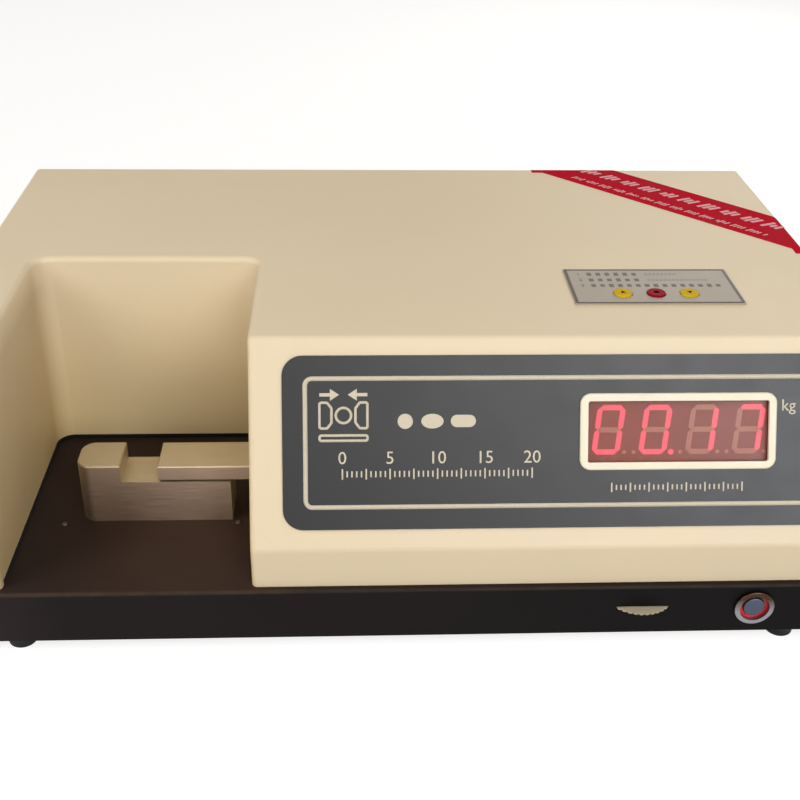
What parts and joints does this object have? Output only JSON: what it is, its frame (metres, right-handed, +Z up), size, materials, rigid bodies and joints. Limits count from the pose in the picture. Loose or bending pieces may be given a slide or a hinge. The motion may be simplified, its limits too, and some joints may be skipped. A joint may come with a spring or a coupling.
{
  "type": "tablet hardness tester",
  "caption": "Bench tester that crushes a tablet between an anvil and a motor-driven jaw in an open bay, with a numeric display and keys on a sloping cream case.",
  "frame": {"origin": "middle of the case's plan, on the surface that the feet stand on", "axes": "+X to the right seen from the front, +Y to the back, +Z up; the display faces -Y"},
  "size_m": [0.404, 0.2603, 0.1341],
  "materials": {
    "base_black": "satin dark brown-black paint on a folded metal pan",
    "cover_cream": "cream moulded shell with a fine satin texture",
    "panel_charcoal": "charcoal satin plate with a printed cream line",
    "bezel_ivory": "ivory moulded frame",
    "window_red": "red-brown tinted clear sheet",
    "digit_face": "light-emitting numeral block",
    "board_green": "green circuit board",
    "chip_black": "black moulded components",
    "keypad_grey": "printed grey aluminium plate",
    "key_yellow": "yellow moulded key",
    "key_red": "red moulded key",
    "anvil_paint": "grey-beige paint on a milled block",
    "steel": "ground steel",
    "bronze": "bronze bush metal",
    "aluminium": "milled aluminium",
    "plated_steel": "bright zinc-plated screws",
    "black_plastic": "black moulded plastic",
    "wheel_ivory": "ivory moulded wheel with a knurled edge",
    "button_metal": "satin metal bezel",
    "button_blue": "grey-blue satin cap",
    "lens_red": "red light ring",
    "rubber_black": "black rubber",
    "tape_red": "crimson plastic film",
    "core_steel": "varnished core laminations",
    "winding": "amber tape over the winding",
    "rear_grey": "grey painted sheet"
  },
  "bodies": {
    "root": {"anvil_block": "anvil_paint", "base_tray": "base_black", "board_components": "chip_black", "bottom_plate": "base_black", "bottom_screws": "plated_steel", "button_bezel": "button_metal", "button_lens": "lens_red", "deck_screws": "plated_steel", "digit_1": "digit_face", "digit_2": "digit_face", "digit_3": "digit_face", "digit_4": "digit_face", "display_bezel": "bezel_ivory", "display_board": "board_green", "display_window": "window_red", "drive_chassis": "aluminium", "drive_motor": "core_steel", "foot_1": "rubber_black", "foot_2": "rubber_black", "foot_3": "rubber_black", "foot_4": "rubber_black", "front_block": "aluminium", "front_panel": "panel_charcoal", "fuse_holder": "black_plastic", "guide_rod_1": "steel", "guide_rod_2": "steel", "inlet_pins": "plated_steel", "key_board": "board_green", "key_switches": "chip_black", "keypad_plate": "keypad_grey", "main_board": "board_green", "mains_inlet": "black_plastic", "motor_bracket": "aluminium", "push_rod_bush": "bronze", "rear_block": "aluminium", "rear_panel": "rear_grey", "screw_bearing": "steel", "seal_tape": "tape_red", "short_screws": "plated_steel", "top_cover": "cover_cream", "transformer_coil": "winding", "transformer_core": "core_steel", "travel_sensors": "chip_black", "under_deck_screws": "plated_steel", "zero_potentiometer": "chip_black"},
    "carriage": {"moving_jaw": "anvil_paint", "push_rod": "steel", "load_cell": "aluminium", "carriage": "aluminium", "lead_nut": "bronze", "slide_bushes": "bronze"},
    "screw": {"lead_screw": "steel", "shaft_coupling": "aluminium", "motor_shaft": "steel"},
    "key_1": {"key_cap_1": "key_yellow"},
    "key_2": {"key_cap_2": "key_red"},
    "key_3": {"key_cap_3": "key_yellow"},
    "power_button": {"button_cap": "button_blue"},
    "zero_wheel": {"zero_wheel": "wheel_ivory"},
    "fuse_cap": {"fuse_cap": "black_plastic"}
  },
  "joints": [
    {"name": "screw_spin", "type": "hinge", "parent": "root", "child": "screw", "pos_m": [0.1099, -0.0631, 0.05815], "axis": [1, 0, 0], "range_deg": [-1080, 2790]},
    {"name": "jaw_slide", "type": "slide", "parent": "root", "child": "carriage", "axis": [-1, 0, 0], "range_m": [-0.006, 0.0155]},
    {"name": "key_1_press", "type": "slide", "parent": "root", "child": "key_1", "axis": [0, 0, -1], "range_m": [0, 0.0008], "stiffness_N_per_m": 300, "springref_m": -0.001},
    {"name": "key_2_press", "type": "slide", "parent": "root", "child": "key_2", "axis": [0, 0, -1], "range_m": [0, 0.0008], "stiffness_N_per_m": 300, "springref_m": -0.001},
    {"name": "key_3_press", "type": "slide", "parent": "root", "child": "key_3", "axis": [0, 0, -1], "range_m": [0, 0.0008], "stiffness_N_per_m": 300, "springref_m": -0.001},
    {"name": "power_press", "type": "slide", "parent": "root", "child": "power_button", "axis": [0, 1, 0], "range_m": [0, 0.002], "stiffness_N_per_m": 400, "springref_m": -0.001},
    {"name": "zero_turn", "type": "hinge", "parent": "root", "child": "zero_wheel", "pos_m": [0.1032, -0.1127, 0.0202], "axis": [0, 0, 1], "range_deg": [-150, 150]},
    {"name": "fuse_cap_turn", "type": "hinge", "parent": "root", "child": "fuse_cap", "pos_m": [0.13884, 0.1187, 0.064], "axis": [0, 1, 0], "range_deg": [0, 90]}
  ],
  "couplings": [
    {"joint": "screw_spin", "follows": "jaw_slide", "rad_per_m": 3141.6}
  ]
}
